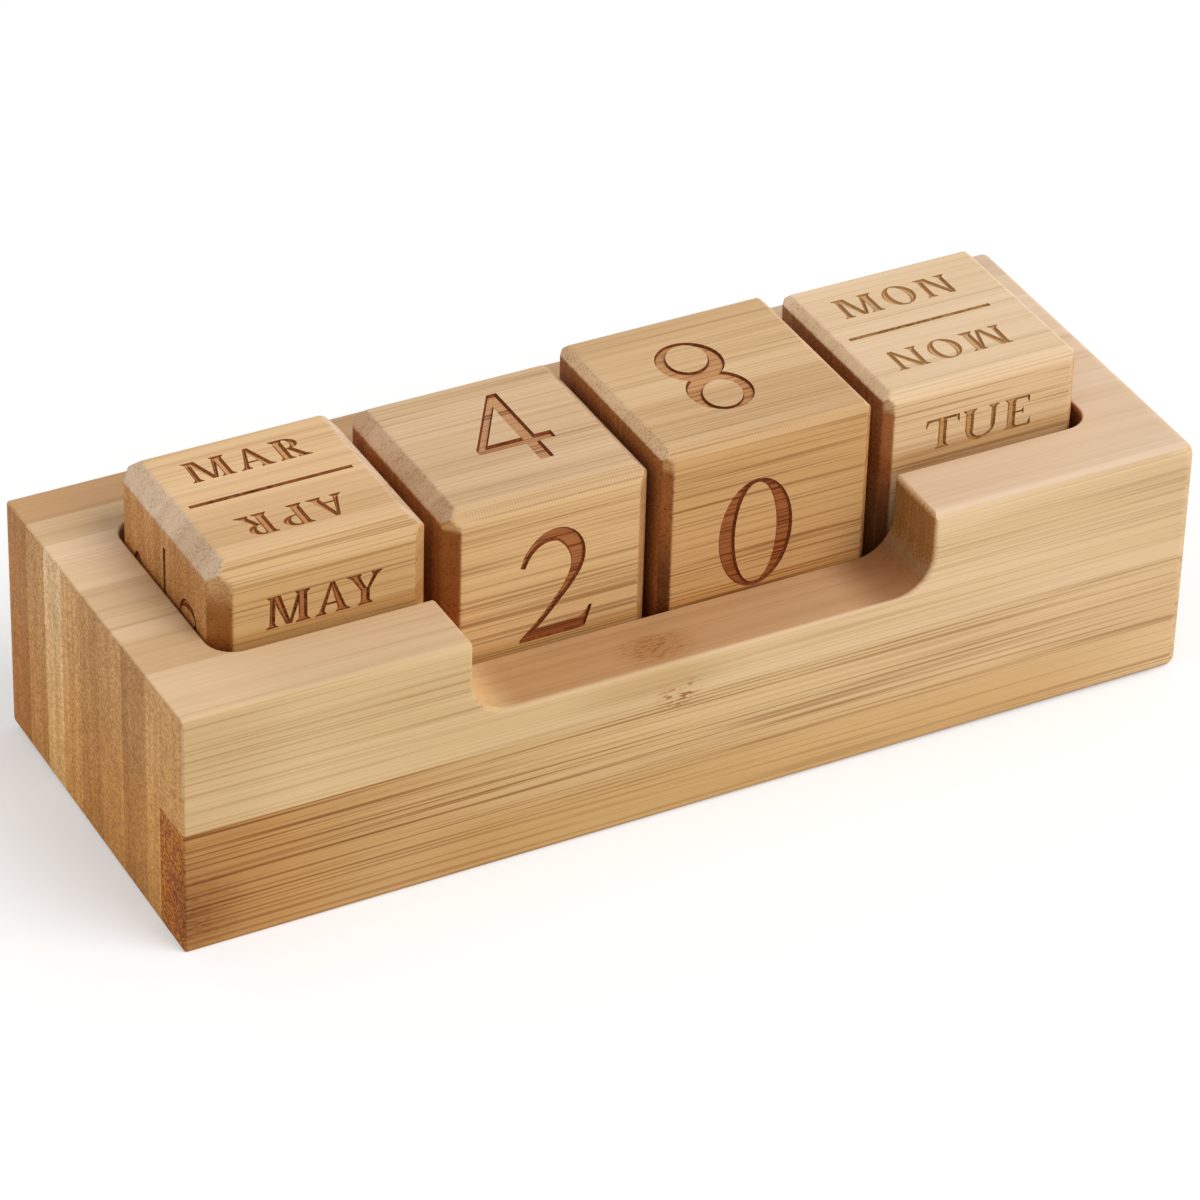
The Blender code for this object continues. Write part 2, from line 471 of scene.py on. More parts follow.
def skin(name, loops, finishes):
    """Skins a row of closed loops, each the next place of the same points, with four-sided faces, and
    closes the first and the last loop with one flat face each."""
    loops = np.asarray(loops)
    rows, count = loops.shape[:2]
    row = np.arange(rows - 1)[:, None] * count
    point = np.arange(count)[None, :]
    after = (point + 1) % count
    quads = np.stack([row + point, row + after, row + count + after, row + count + point], -1).reshape(-1, 4)
    faces = [*quads, np.arange(count)[::-1], (rows - 1) * count + np.arange(count)]
    return mesh_from(name, loops.reshape(-1, 3), faces, finishes)


def round_plan(half_long, half_wide, radii, inset=0.0):
    """Points once round a rectangle from its first corner, anticlockwise: each corner is a quarter circle
    of its own radius, and each side is cut into even steps between the arcs. An inset, one for all points
    or one for each, draws a point in from the sides and takes as much off the radius of its corner."""
    radii = np.broadcast_to(np.asarray(radii, float), (4,))
    signs = np.array([(-1, -1), (1, -1), (1, 1), (-1, 1)])
    corner = np.repeat(np.arange(4), arc_steps + side_steps)
    angle = np.tile(np.concatenate([np.linspace(0, 90, arc_steps + 1), np.full(side_steps - 1, 90)]), 4)
    along_side = np.linspace(0, 1, side_steps + 1)[1:-1]
    share = np.tile(np.concatenate([np.zeros(arc_steps + 1), along_side]), 4)[:, None]
    inset = np.broadcast_to(inset, corner.shape)

    def place(corner, angle):
        radius = np.maximum(radii[corner] - inset, smallest_radius)[:, None]
        turn = np.radians(angle + 90 * corner + 180)
        middle = np.array([half_long, half_wide]) - inset[:, None] - radius
        return signs[corner] * middle + radius * np.stack([np.cos(turn), np.sin(turn)], 1)

    return place(corner, angle) * (1 - share) + place((corner + 1) % 4, np.zeros(len(corner))) * share


def round_the_corners(entering, leaving):
    """A value for each point of round_plan. It changes evenly round each corner and along each side."""
    entering, leaving = np.asarray(entering, float), np.asarray(leaving, float)
    share = np.linspace(0, 1, arc_steps + 1)[None, :]
    arcs = entering[:, None] * (1 - share) + leaving[:, None] * share
    share = np.linspace(0, 1, side_steps + 1)[1:-1][None, :]
    straights = leaving[:, None] * (1 - share) + np.roll(entering, -1)[:, None] * share
    return np.concatenate([arcs, straights], 1).reshape(-1)


def billet_loops(half_long, half_wide, height):
    """The tray's outside. A quarter circle carries the plan in and up from the underside, and another over
    the top edge; both radii change along the plan."""
    corners = np.array(tray_corners)
    top = round_the_corners(corners[:, 1], corners[:, 2])
    under = round_the_corners(corners[:, 3], corners[:, 4])
    quarter = np.radians(np.linspace(0, 90, arc_steps + 1))
    insets = [under * (1 - np.sin(angle)) for angle in quarter]
    insets += [top * (1 - np.cos(angle)) for angle in quarter]
    levels = [under * (1 - np.cos(angle)) for angle in quarter]
    levels += [height - top * (1 - np.sin(angle)) for angle in quarter]
    plans = [round_plan(half_long, half_wide, corners[:, 0], inset) for inset in insets]
    return [np.column_stack([plan, level]) for plan, level in zip(plans, levels)]


def pocket_loops(height):
    """The pocket's tool: the plan stands on the pocket's floor, rises straight, and flares over the rim by
    one less the cosine of a quarter turn, which leaves a rounded rim."""
    quarter = np.radians(np.linspace(0, 90, rim_steps + 1))
    flare = rim_round * (1 - np.cos(quarter))
    levels = height - rim_round + rim_round * np.sin(quarter)
    flares = np.concatenate([[0], flare, [rim_round]])
    levels = np.concatenate([[pocket_floor], levels, [height + cut_overrun]])
    loops = []
    for out, level in zip(flares, levels):
        plan = round_plan(pocket_length / 2 + out, pocket_width / 2 + out, pocket_corner + out)
        loops.append(np.column_stack([plan, np.full(len(plan), level)]))
    return loops


def window_loops(half_wide, height):
    """The window's tool: half an outline in length and height runs along the sill, up a quarter circle,
    straight up, and out over another quarter circle at the tray's top; the other half mirrors it. The
    outline is carried from in front of the front face into the pocket, and flared near both faces so that
    the cut edges come out rounded."""
    front, inside = -half_wide, -pocket_width / 2
    quarter = np.radians(np.linspace(0, 90, rim_steps + 1))
    outer = window_front_round * (1 - np.sin(quarter))
    inner = rim_round * (1 - np.cos(quarter))
    depths = np.concatenate([
        [front - cut_overrun],
        front + window_front_round * (1 - np.cos(quarter)),
        inside - rim_round + rim_round * np.sin(quarter),
        [inside + cut_overrun],
    ])
    flares = np.concatenate([[window_front_round], outer, inner, [rim_round]])
    turn = np.radians(np.linspace(0, 90, arc_steps + 1))
    loops = []
    for out, depth in zip(flares, depths):
        half, fillet = window_length / 2 + out, window_fillet + out
        mouth_x = half + window_mouth_round * (1 - np.cos(turn))
        mouth_z = height + window_mouth_round * (np.sin(turn) - 1)
        x = np.concatenate([half - fillet * (1 - np.sin(turn)), mouth_x])
        z = np.concatenate([fillet * (1 - np.cos(turn)) + window_sill - out, mouth_z])
        x, z = np.append(x, x[-1]), np.append(z, height + cut_overrun)
        x, z = np.concatenate([-x[::-1], x]), np.concatenate([z[::-1], z])
        loops.append(np.column_stack([x, np.full(len(x), depth), z]))
    return loops


def eased_cube(half, chamfer):
    """A cube with its twelve edges cut off at 45 degrees and every edge a little eased. Six faces of a
    gridded cube are drawn along their rays: each ray is divided by the sum of its shares towards the six
    faces and the twelve chamfers, each to a high power, with that power's root taken."""
    turn_in = 1 - chamfer / half
    near = turn_in + chamfer_line_places * chamfer / half
    side = np.concatenate([near, np.linspace(near[-1], 1, chamfer_lines - len(near) + 3)[1:]])
    lines = np.concatenate([-side[::-1], side])
    u, v = np.meshgrid(lines, lines, indexing="ij")
    one = np.ones_like(u)
    sheets = []
    for axis in range(3):
        for sign in (-1, 1):
            parts = [u, v]
            parts.insert(axis, sign * one)
            sheets.append(np.stack(parts, -1))
    rays = np.stack(sheets)
    reach = np.abs(rays)
    pairs = reach[..., [0, 0, 1]] + reach[..., [1, 2, 2]]
    shares = np.concatenate([reach / half, pairs / (2 * half - chamfer)], -1)
    largest = shares.max(-1, keepdims=True)
    length = largest[..., 0] * ((shares / largest) ** edge_sharpness).sum(-1) ** (1 / edge_sharpness)
    points = (rays / length[..., None]).reshape(-1, 3)
    count = len(lines)
    corner = (np.arange(count - 1)[:, None] * count + np.arange(count - 1)[None, :]).reshape(-1)
    quads = np.stack([corner, corner + 1, corner + count + 1, corner + count], 1)
    quads = (quads[None] + (np.arange(6) * count * count)[:, None, None]).reshape(-1, 4)
    _, first, same = np.unique(np.round(points, 7), axis=0, return_index=True, return_inverse=True)
    return points[first], same.reshape(-1)[quads]


def carving(name, size, middle, faces, cut, finishes):
    """All the grooves of one block as one tool, each laid on its face: the face's middle, plus the stroke's
    places along the face's two directions, plus its depth along the way the face looks."""
    points, quads, marks = [], [], []
    total = 0
    for (out, along, up), strokes in faces:
        for edges, closed, number in strokes:
            section, faces_here, is_floor = groove(edges, closed, cut, number)
            place = section[:, :1] * along + section[:, 1:2] * up + (section[:, 2:] + size / 2) * out
            points.append(place + middle)
            quads.append(faces_here + total)
            marks.append(is_floor)
            total += len(section)
    marks = np.where(np.concatenate(marks), 2, 1)
    return mesh_from(name, np.vstack(points), np.vstack(quads), finishes, marks, in_triangles=True)


def cut_with(target, tool_mesh, itself=False):
    tool = piece(tool_mesh.name, tool_mesh)
    boolean = target.modifiers.new(tool_mesh.name, "BOOLEAN")
    boolean.operation = "DIFFERENCE"
    boolean.solver = "EXACT"
    boolean.use_self = itself
    boolean.material_mode = "TRANSFER"
    boolean.object = tool
    return tool


def settle(target, tools, sharp_degrees):
    """Takes the cuts into the mesh, and shades it smooth but for its sharp edges and its flat faces."""
    graph = bpy.context.evaluated_depsgraph_get()
    cut = bpy.data.meshes.new_from_object(target.evaluated_get(graph))
    target.modifiers.clear()
    target.data = cut
    for tool in tools:
        bpy.data.objects.remove(tool, do_unlink=True)
    cut.shade_smooth()
    cut.set_sharp_from_angle(angle=np.radians(sharp_degrees))
    weighted = target.modifiers.new("flat_faces_stay_flat", "WEIGHTED_NORMAL")
    weighted.keep_sharp = True
    weighted.weight = 100


def paint(red, green, blue):
    """A colour as a paint chart gives it, from 0 to 255, in linear light."""
    share = np.array([red, green, blue]) / 255
    linear = np.where(share > 0.04045, ((share + 0.055) / 1.055) ** 2.4, share / 12.92)
    return tuple(linear.tolist())


class Wiring:
    """Shader nodes in the making. Each call adds one node or more and gives back the last one's result."""

    def __init__(self, tree):
        self.nodes = tree.nodes
        self.links = tree.links

    def feed(self, socket, value):
        """Links a result to a socket, or sets the socket's own value. A colour comes without its alpha."""
        if isinstance(value, bpy.types.NodeSocket):
            self.links.new(value, socket)
        else:
            socket.default_value = (*value, 1.0) if socket.type == "RGBA" else value

    def node(self, kind, inputs, result=0, **settings):
        made = self.nodes.new(kind)
        for name, value in settings.items():
            setattr(made, name, value)
        for socket, value in inputs.items():
            self.feed(made.inputs[socket], value)
        return made.outputs[result]

    def reckon(self, operation, *values):
        return self.node("ShaderNodeMath", dict(enumerate(values)), operation=operation)

    def reckon_place(self, operation, *values):
        return self.node("ShaderNodeVectorMath", dict(enumerate(values)), operation=operation)

    def times(self, value, *factors):
        for factor in factors:
            value = self.reckon("MULTIPLY", value, factor)
        return value

    def plus(self, base, value, factor):
        """The base, plus the value times the factor."""
        return self.reckon("MULTIPLY_ADD", value, factor, base)

    def less(self, value, amount):
        return self.reckon("SUBTRACT", value, amount)

    def apart(self, place):
        """The three parts of a place, along X, Y and Z."""
        return self.node("ShaderNodeSeparateXYZ", {0: place}).node.outputs

    def ease(self, value, low, high, to_low=0.0, to_high=1.0):
        """Runs softly from one value to another while the input goes from low to high."""
        inputs = {0: value, 1: low, 2: high, 3: to_low, 4: to_high}
        return self.node("ShaderNodeMapRange", inputs, interpolation_type="SMOOTHSTEP")

    def blend(self, share, first, second, way="MIX"):
        inputs = {0: share, 6: first, 7: second}
        return self.node("ShaderNodeMix", inputs, 2, data_type="RGBA", blend_type=way)

    def tint(self, share, colour, tint):
        return self.blend(share, colour, tint, "MULTIPLY")

    def cloud(self, place, size, detail=2.0, result="Fac"):
        """Noise whose lumps have this size along X, Y and Z, in millimetres."""
        inputs = {"Vector": self.reckon_place("DIVIDE", place, size), "Scale": 1.0, "Detail": detail}
        return self.node("ShaderNodeTexNoise", inputs, result)

    def bundles(self, place, size, core, rim):
        """Scattered fibre bundles: 1 in the core of each, 0 outside its rim, both in shares of the size."""
        inputs = {"Vector": self.reckon_place("DIVIDE", place, size), "Scale": 1.0}
        return self.ease(self.node("ShaderNodeTexVoronoi", inputs, "Distance"), rim, core)

    def steps(self, value, reach, rows):
        """Reads a place off a row of stops, each a place and a colour, with even runs between them."""
        share = self.node("ShaderNodeMapRange", {0: value, 1: -reach, 2: reach})
        ramp = self.nodes.new("ShaderNodeValToRGB")
        stops = ramp.color_ramp.elements
        while len(stops) < len(rows):
            stops.new(1.0)
        for stop, (place, *colour) in zip(stops, rows):
            stop.position = (place + reach) / (2 * reach)
            stop.color = (*colour, 1.0)
        self.links.new(share, ramp.inputs[0])
        return ramp.outputs[0]


class Finish(Wiring):
    """A material in the making."""

    def __init__(self, name):
        self.material = bpy.data.materials.new(name)
        self.material.use_nodes = True
        super().__init__(self.material.node_tree)

    def place_from(self, middle):
        """The place on the piece, in millimetres from a middle."""
        source = self.nodes.new("ShaderNodeTexCoord")
        place = self.reckon_place("SUBTRACT", source.outputs["Object"], tuple(middle))
        return self.reckon_place("MULTIPLY", place, (1000, 1000, 1000))

    def coat(self, looks):
        for socket, value in looks.items():
            self.feed(self.nodes["Principled BSDF"].inputs[socket], value)
        return self.material


def stave_stops(staves):
    """Each stave has two stops: its tone (red) and how thick its fibres stand (green), from one side to the
    other. Between two staves lies a stop for the glue line (blue)."""
    rows = []
    for left, right, tone, thin_side, thick_side in staves:
        if rows:
            rows.append((left, tone, thin_side, 1.0))
        rows.append((left + glue_line, tone, thin_side, 0.0))
        rows.append((right - glue_line, tone, thick_side, 0.0))
    return rows


def ground_colour(wood, tones, spot, ways, reach):
    """The ground colour goes with the way a surface looks: up, to the side, to the end, or between two of
    these on a chamfer, where the product of the two shares is about a quarter. Gives it with the shares of
    end and long edge."""
    x, _, z = spot
    end, side, top = ways
    ground = wood.blend(wood.ease(top, 0.2, 0.8), tones["front"], tones["top"])
    is_end = wood.ease(end, tones["end_from"], tones["end_whole"])
    ground = wood.blend(is_end, ground, tones["end"])
    # The top chamfers at the ends: partly their own tone, partly painted light that keeps them pale.
    ground = wood.blend(wood.times(end, top, chamfer_gain), ground, tones["end_top_edge"])
    # The upright chamfers are dark: partly their own tone, partly painted shade, which grows towards their
    # foot and is weaker on the right, painted as lit.
    below_top = reach - upright_edge_drop
    upright = wood.times(
        end,
        side,
        chamfer_gain,
        wood.ease(z, below_top, below_top - tones["upright_fade"]),
        wood.ease(x, 2, -2, tones["upright_share_on_lit_right"]),
    )
    edge = wood.blend(wood.ease(z, 8, -6), tones["upright_edge"], tones["upright_foot_shade"])
    ground = wood.blend(upright, ground, edge)
    long_edge = wood.times(side, top, chamfer_gain)
    ground = wood.tint(long_edge, ground, long_edge_tint)
    # Painted shade: a warm shadow band on a block's sides, from a little above the tray's rim to a little
    # below it.
    above_rim = wood.less(z, tones["rim_height"])
    rim_shadow_band = wood.times(wood.ease(above_rim, 2.2, 0.1), wood.ease(above_rim, -4.0, -1.5))
    return wood.tint(rim_shadow_band, ground, rim_shadow_tint), is_end, long_edge


def bamboo(name, centre, drift, tones, staves, reach, scorch=None, details=None):
    """Bamboo staves glued side by side, with their fibres along X. The fibres are long lumps and cells in
    space, which come out as lines and streaks on the sides, and as grain and dots on the ends."""
    wood = Finish(name)
    own = wood.place_from(centre)
    normal = wood.nodes.new("ShaderNodeTexCoord").outputs["Normal"]
    ways = wood.apart(wood.reckon_place("MULTIPLY", normal, normal))
    spot = wood.apart(own)
    top = ways[2]

    there = wood.reckon_place("ADD", own, drift)
    sway = wood.reckon_place("SUBTRACT", wood.cloud(there, sway_size, 0.0, "Color"), (0.5, 0.5, 0.5))
    there = wood.reckon_place("MULTIPLY_ADD", sway, sway_reach, there)

    stops = wood.steps(spot[1], reach, stave_stops(staves))
    stave_tone, thickness, glue = wood.node("ShaderNodeSeparateColor", {0: stops}).node.outputs
    band = wood.ease(wood.cloud(there, band_size, 1.0), 0.36, 0.64)
    patch = wood.cloud(there, patch_size, 1.0)
    grain = wood.cloud(there, grain_size, 1.6)
    line = wood.ease(grain, 0.525, 0.37)
    streak = wood.bundles(there, streak_size, 0.06, 0.36)
    dots = wood.bundles(there, dot_size, 0.12, 0.42)
    fleck = wood.ease(wood.cloud(there, fleck_size, 0.6), 0.40, 0.60)
    lane = wood.less(wood.cloud(there, lane_size, 1.0), 0.5)

    ground, is_end, long_edge = ground_colour(wood, tones, spot, ways, reach)
    depth = wood.plus(tones["lines"], wood.ease(top, 0.3, 0.9), tones["top_lines"])
    end_depth = wood.ease(top, 0.1, 0.4, 1.0, 0.22)
    contrast = wood.plus(0.45, is_end, 0.15)
    if details:
        looks = details(wood, (ground, depth, end_depth, contrast), spot, there, ways, is_end)
        ground, depth, end_depth, contrast = looks

    # How much fibre shows. The sides show it in bands, the ends all over.
    along = wood.times(line, wood.plus(0.30, band, 0.30))
    along = wood.times(wood.plus(along, streak, wood.plus(0.04, band, 0.24)), depth)
    across = wood.times(dots, wood.plus(0.12, thickness, 0.45))
    across = wood.times(wood.plus(wood.plus(across, fleck, 0.42), thickness, 0.12), end_depth)
    fibre = wood.node("ShaderNodeMix", {0: is_end, 2: along, 3: across})
    fibre = wood.plus(fibre, glue, 0.25)

    # How light the wood is. Where it darkens it goes warmer.
    light = wood.plus(wood.plus(0.92, patch, 0.20), band, -0.05)
    light = wood.plus(light, wood.times(lane, is_end), 0.48)
    light = wood.times(light, wood.plus(1.0, wood.less(stave_tone, 0.5), contrast))
    if tones["ticks"]:
        wave = wood.reckon("SINE", wood.times(spot[0], 2 * np.pi / tick_spacing))
        wave = wood.reckon("ADD", wave, wood.less(fleck, 0.5))
        light = wood.plus(light, wood.times(wood.ease(wave, 0.1, 0.9), long_edge), -tones["ticks"])
    green, blue = (wood.reckon("POWER", light, power) for power in (1.35, 1.95))
    warmth = wood.node("ShaderNodeCombineXYZ", {0: light, 1: green, 2: blue})
    colour = wood.tint(fibre, wood.tint(1.0, ground, warmth), fibre_tint)
    if scorch:
        front_scorch, top_scorch, end_scorch = scorch
        burn = wood.blend(wood.ease(top, 0.3, 0.9), front_scorch, top_scorch)
        colour = wood.tint(1.0, colour, wood.blend(is_end, burn, end_scorch))

    return wood.coat({
        "Base Color": colour,
        "Roughness": wood.plus(0.40, grain, 0.30),
        "Specular IOR Level": 0.12,
        "Normal": wood.node("ShaderNodeBump", {"Strength": 0.2, "Distance": 0.00005, "Height": grain}),
    })


def burnt_wall(name, middle, half, dark, light, on_top, at_the_divider):
    """The scorched walls of the carving: a dark brown that goes lighter in specks and patches, lighter on
    the block's top, and darker along the line that parts two words."""
    wood = Finish(name)
    place = wood.place_from(middle)
    away = wood.apart(wood.reckon_place("ABSOLUTE", place))
    height = wood.apart(place)[2]
    share = wood.ease(wood.cloud(place, scorch_speck_size, 3.0), 0.35, 0.7)
    share = wood.plus(share, wood.ease(wood.cloud(place, scorch_patch_size, 0.0), 0.35, 0.65), 0.35)
    share = wood.plus(share, wood.ease(height, half - 1.4, half - 0.9), on_top)
    divider = wood.ease(wood.reckon("MINIMUM", away[1], away[2]), 1.2, 0.8)
    divider = wood.times(divider, wood.ease(away[0], half - 1.0, half - 1.5))
    colour = wood.blend(wood.plus(share, divider, at_the_divider), dark, light)
    return wood.coat({"Base Color": colour, "Roughness": 0.75, "Specular IOR Level": 0.08})


def tray_details(wood, looks, spot, there, ways, is_end):
    """What only the tray shows: the darker lower half of its front and back staves, tones that change along
    it, painted light that pales it towards the right, a darker, browner tint inside the pocket and the
    window with painted shade at its right end and painted light on its left fillet, and its staves' nodes."""
    ground, depth, end_depth, contrast = looks
    x, y, z = spot
    end, _, top = ways
    is_top = wood.ease(top, 0.3, 0.8)

    wander = wood.plus(lower_stave_top - 0.3, wood.cloud(there, wander_size, 0.0), 0.6)
    below = wood.ease(wood.less(z, wander), 0.08, -0.08)
    in_front = wood.times(below, wood.ease(y, front_stave_back + 0.05, front_stave_back - 0.05))
    behind = wood.times(below, wood.ease(y, back_stave_front - 0.05, back_stave_front + 0.05))
    lower_stave = wood.blend(wood.ease(x, -85, -15), lower_stave_left, lower_stave_right)
    foot = wood.times(wood.ease(z, 14, 7), wood.ease(x, -58, -35), wood.ease(x, 95, 55), in_front)
    left = wood.ease(x, -66, -81)
    # Painted light: the top pales towards the right, where its lines and contrast also fade.
    painted_top_light = wood.times(wood.ease(x, -20, 75), is_top)

    back = wood.ease(y, back_stave_front - 0.1, back_stave_front + 0.1)
    back = wood.times(back, wood.reckon("MAXIMUM", is_end, wood.ease(top, 0.2, 0.7)))
    back_stave = wood.blend(wood.ease(x, -80, 75), back_stave_left, back_stave_right)
    pale_front, pale_back = pale_stave
    pale = wood.times(
        wood.ease(y, pale_front - 0.1, pale_front + 0.1),
        is_end,
        wood.ease(y, pale_back + 0.1, pale_back - 0.1),
    )
    upwards = wood.blend(wood.ease(z, 6, 42), end_foot_tint, end_head_tint)

    # The pocket and the window lie inside the tray's outer faces and take a darker, browner tint. The
    # window's right end has painted shade, and its left fillet painted light.
    inside = wood.times(
        wood.ease(wood.reckon("ABSOLUTE", x), 84.0, 82.0),
        wood.ease(wood.reckon("ABSOLUTE", y), 32.6, 31.8),
        wood.ease(z, 41.9, 40.9),
    )
    right = wood.ease(x, 25, 33)
    # Painted shade on the window's right fillet.
    shaded_right_fillet = wood.times(inside, wood.ease(end, 0.30, 0.80), right)
    # Painted light on the window's left fillet.
    lit = wood.times(inside, wood.ease(x, -30, -38), wood.ease(x, -50, -44))
    shares_and_tints = [
        # Painted light: paler towards the right on every face, and more so on the top.
        (wood.ease(x, -50, 75), painted_light_to_right),
        (painted_top_light, painted_top_light_tint),
        (in_front, lower_stave),
        (behind, lower_stave_right),
        (foot, front_foot_tint),
        (wood.times(left, wood.ease(y, -32.55, -32.72)), left_front_tint),
        (wood.times(left, is_top), left_top_tint),
        (wood.times(in_front, is_end, wood.ease(x, 0, -50)), lower_stave_end),
        (back, back_stave),
        (pale, pale_stave_tint),
        (is_end, upwards),
        # A darker, browner tint inside the pocket and the window.
        (inside, pocket_and_window_tint),
        # Painted shade at the window's right end, on its fillet and on the sill.
        (shaded_right_fillet, right_fillet_painted_shade),
        (wood.times(inside, wood.ease(x, 25, 34)), right_sill_painted_shade),
        # Painted light on the window's left fillet.
        (lit, left_fillet_painted_light),
    ]
    speck = wood.ease(wood.cloud(there, node_speck_size, 1.0), 0.53, 0.62)
    place = wood.node("ShaderNodeCombineXYZ", {0: x, 1: y, 2: z})
    for centre, spread, halo, specks, tint in tray_nodes:
        away = wood.reckon_place("DIVIDE", wood.reckon_place("SUBTRACT", place, centre), spread)
        reach = wood.node("ShaderNodeVectorMath", {0: away}, "Value", operation="LENGTH")
        share = wood.times(wood.ease(reach, 1.0, 0.15), wood.plus(halo, speck, specks))
        shares_and_tints.append((share, tint))
    for share, tint in shares_and_tints:
        ground = wood.tint(share, ground, tint)

    lines = wood.times(in_front, wood.ease(x, -60, 20, 0.95, 0.5))
    depth = wood.reckon("ADD", lines, wood.times(depth, wood.plus(1.0, painted_top_light, -0.4)))
    plainer = wood.times(inside, wood.plus(-0.65, right, 0.5))
    end_depth = wood.times(wood.plus(end_depth, in_front, 1.5), wood.reckon("ADD", plainer, 1.0))
    contrast = wood.times(contrast, wood.plus(1.0, painted_top_light, -0.6))
    return ground, depth, end_depth, contrast


def blocks_staves(half, tones):
    """A block's staves, all as wide, in rows like those of the tray's."""
    edges = np.linspace(-half - 1, half + 1, len(tones) + 1)
    return [(left, right, *tone) for left, right, tone in zip(edges[:-1], edges[1:], tones)]


def build_tray(finish):
    low, high = (np.array(corner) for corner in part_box("tray"))
    half_long, half_wide, height = high[0], high[1], high[2]
    tray = piece("tray_billet", skin("tray_billet", billet_loops(half_long, half_wide, height), [finish]))
    tools = [
        cut_with(tray, skin("pocket_tool", pocket_loops(height), [finish])),
        cut_with(tray, skin("window_tool", window_loops(half_wide, height), [finish])),
    ]
    settle(tray, tools, sharp_degrees=35)
    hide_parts("tray")
    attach(tray, "tray")


def build_block(node, shade):
    low, high = (np.array(corner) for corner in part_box(node))
    size = high[0] - low[0]
    middle = (low + high) / 2
    finishes = block_finishes(node, middle, size, shade)
    points, quads = eased_cube(size / 2, block_chamfers[node])
    block = piece(node + "_carved", mesh_from(node + "_carved", points + middle, quads, finishes))
    tool = carving(node + "_grooves", size, middle, lettered_faces(node), grooves[node], finishes)
    settle(block, [cut_with(block, tool, itself=True)], sharp_degrees=30)
    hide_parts(node)
    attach(block, node)


def block_finishes(node, middle, size, shade):
    half = size * 1000 / 2
    drift, tones, staves, scorch, burnt = shade
    staves = blocks_staves(half, staves)
    wood = bamboo(node + "_wood", middle, drift, tones, staves, half + 2)
    walls = burnt_wall(node + "_carved_walls", middle, half, *burnt)
    deep_lines = dict(tones, lines=tones["floor_lines"])
    floor = bamboo(node + "_carved_floor", middle, drift, deep_lines, staves, half + 2, scorch)
    return [wood, walls, floor]


def lettered_faces(node):
    """A block's faces: which way each looks, which way its lettering runs and stands, and its strokes."""
    faces = []
    for face, text in block_lettering[node].items():
        if isinstance(text, str):
            ways = upright_ends.get(face, upright_faces[face])
            strokes = digit_face(text, digit_shifts[node])
        else:
            ways = upright_faces[face]
            shifts = face_shifts.get((node, face), word_shifts[node])
            strokes = word_pair(text, shifts, divider_half_lengths[node])
        faces.append((np.array(ways, float), strokes))
    return faces


# Tones of the tray and the blocks. Colours, as on a paint chart, go with the way a surface looks; some
# carry painted shade and painted light, as noted at their rows. Then come the shares of looking to an end at
# which the end's colour begins and is whole; how much of the dark upright edges, partly painted shade, shows
# on the right, which is painted as lit, and over how many millimetres they fade in; how high above a block's
# middle the tray's rim is, around which a warm shadow band is painted; tick marks along the long edges; and
# how strongly fibre lines show on the sides, what the top adds to that, and how strongly they show on the
# floors of the grooves.
tone_columns = ("tray", "month_block", "tens_cube", "units_cube", "weekday_block")
tone_table = {
    "front": ((211, 180, 133), (196, 157, 105), (212, 174, 123), (198, 154, 101), (218, 184, 141)),
    "top": ((209, 177, 138), (214, 176, 130), (206, 173, 134), (208, 172, 128), (221, 192, 154)),
    # The ends of the cubes and the weekday block are darker than the month block's: partly their own end
    # grain, partly painted shade of the narrow gaps between the blocks.
    "end": ((223, 165, 99), (214, 159, 101), (182, 120, 66), (174, 114, 64), (186, 128, 78)),
    # The top chamfers at the ends, pale: partly their own tone, partly painted light.
    "end_top_edge": ((214, 174, 128), (218, 188, 156), (204, 168, 134), (225, 189, 149), (236, 205, 165)),
    # Dark upright chamfers and their darker foot: partly their own tone, partly painted shade.
    "upright_edge": ((206, 160, 106), (150, 92, 40), (150, 84, 34), (156, 92, 44), (172, 106, 56)),
    "upright_foot_shade": ((206, 160, 106), (150, 92, 40), (164, 92, 38), (104, 56, 24), (124, 70, 30)),
    "end_from": (0.50, 0.35, 0.35, 0.35, 0.35),
    "end_whole": (0.92, 0.80, 0.80, 0.80, 0.80),
    "upright_share_on_lit_right": (0.0, 0.25, 0.35, 0.15, 0.0),
    "upright_fade": (3.0, 6.0, 1.2, 1.2, 1.2),
    "rim_height": (100.0, 4.7, -8.8, -9.5, 5.2),
    "ticks": (0, 0, 0.09, 0.09, 0),
    "lines": (0.62, 1.1, 1.1, 1.3, 1.0),
    "top_lines": (-0.30, -0.65, -0.4, -0.65, -0.6),
    "floor_lines": (0, 1.1, 2.6, 2.4, 1.0),
}
tones = {column: {} for column in tone_columns}
for name, row in tone_table.items():
    for column, tone in zip(tone_columns, row):
        tones[column][name] = paint(*tone) if isinstance(tone, tuple) else tone
fibre_tint = (0.46, 0.32, 0.19)
# A darker, browner tint inside the pocket and the window.
pocket_and_window_tint = (0.77, 0.63, 0.495)
# Painted light: paler towards the right, and more so on the top.
painted_light_to_right = (1.08, 1.09, 1.20)
painted_top_light_tint = (1.07, 1.14, 1.24)
# The painted warm shadow band on the blocks at the tray's rim.
rim_shadow_tint = (0.95, 0.82, 0.64)
long_edge_tint = (0.94, 0.94, 0.94)
lower_stave_end = (1.12, 1.07, 0.40)
front_foot_tint = (0.86, 0.78, 0.64)
left_front_tint = (0.92, 0.89, 0.87)
left_top_tint = (1.08, 1.07, 1.07)
end_foot_tint = (1.05, 1.00, 0.77)
end_head_tint = (1.00, 1.08, 1.20)
back_stave_left = (0.85, 0.74, 0.64)
back_stave_right = (0.87, 0.86, 0.86)
# Painted shade at the window's right end: on its fillet, and on the sill.
right_fillet_painted_shade = (1.10, 1.48, 1.80)
right_sill_painted_shade = (0.59, 0.47, 0.39)
